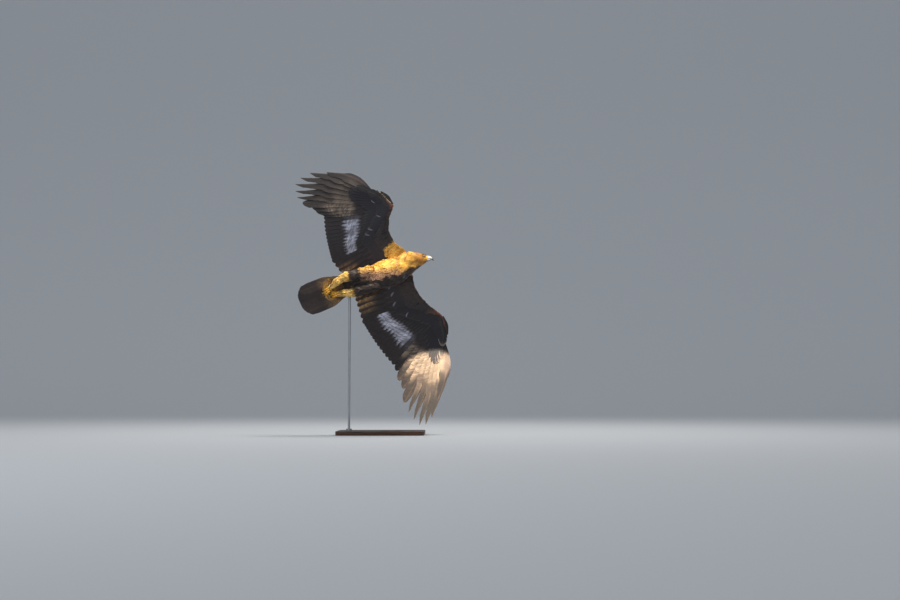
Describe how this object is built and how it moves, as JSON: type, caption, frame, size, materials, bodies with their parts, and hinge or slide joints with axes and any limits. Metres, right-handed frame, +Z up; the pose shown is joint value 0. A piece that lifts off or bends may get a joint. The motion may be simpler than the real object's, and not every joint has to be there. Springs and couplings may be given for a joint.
{
  "type": "golden eagle on a display stand",
  "caption": "Life-size eagle banking in flight with wings half swept and legs tucked under the tail, held up by one upright rod on a flat rounded base.",
  "frame": {"origin": "centre of the base's underside", "axes": "+Z up, +X the way the bird flies, +Y away from its belly"},
  "size_m": [0.9631, 0.4011, 1.614],
  "materials": {
    "plumage_body": "feathered, matte",
    "plumage_golden": "feathered, matte",
    "plumage_wing": "feathered, faint sheen",
    "plumage_tail": "feathered, faint sheen",
    "yellow_skin": "scaled, satin",
    "horn": "polished horn",
    "eye": "wet gloss",
    "stand_wood": "dark stained, satin",
    "stand_steel": "brushed"
  },
  "bodies": {
    "root": {"alula_left": "plumage_wing", "alula_right": "plumage_wing", "bill_lower": "horn", "bill_upper": "horn", "cere": "yellow_skin", "claw_left_inner": "horn", "claw_left_middle": "horn", "claw_left_outer": "horn", "claw_left_rear": "horn", "claw_right_inner": "horn", "claw_right_middle": "horn", "claw_right_outer": "horn", "claw_right_rear": "horn", "eye_left": "eye", "eye_right": "eye", "foot_left": "yellow_skin", "foot_right": "yellow_skin", "head": "plumage_golden", "neck": "plumage_golden", "stand_base": "stand_wood", "stand_rod": "stand_steel", "tail": "plumage_tail", "tarsus_left": "plumage_golden", "tarsus_right": "plumage_golden", "thigh_left": "plumage_golden", "thigh_right": "plumage_golden", "torso": "plumage_body", "wing_left_arm": "plumage_wing", "wing_left_forearm": "plumage_wing", "wing_left_hand": "plumage_wing", "wing_right_arm": "plumage_wing", "wing_right_forearm": "plumage_wing", "wing_right_hand": "plumage_wing"}
  },
  "joints": []
}
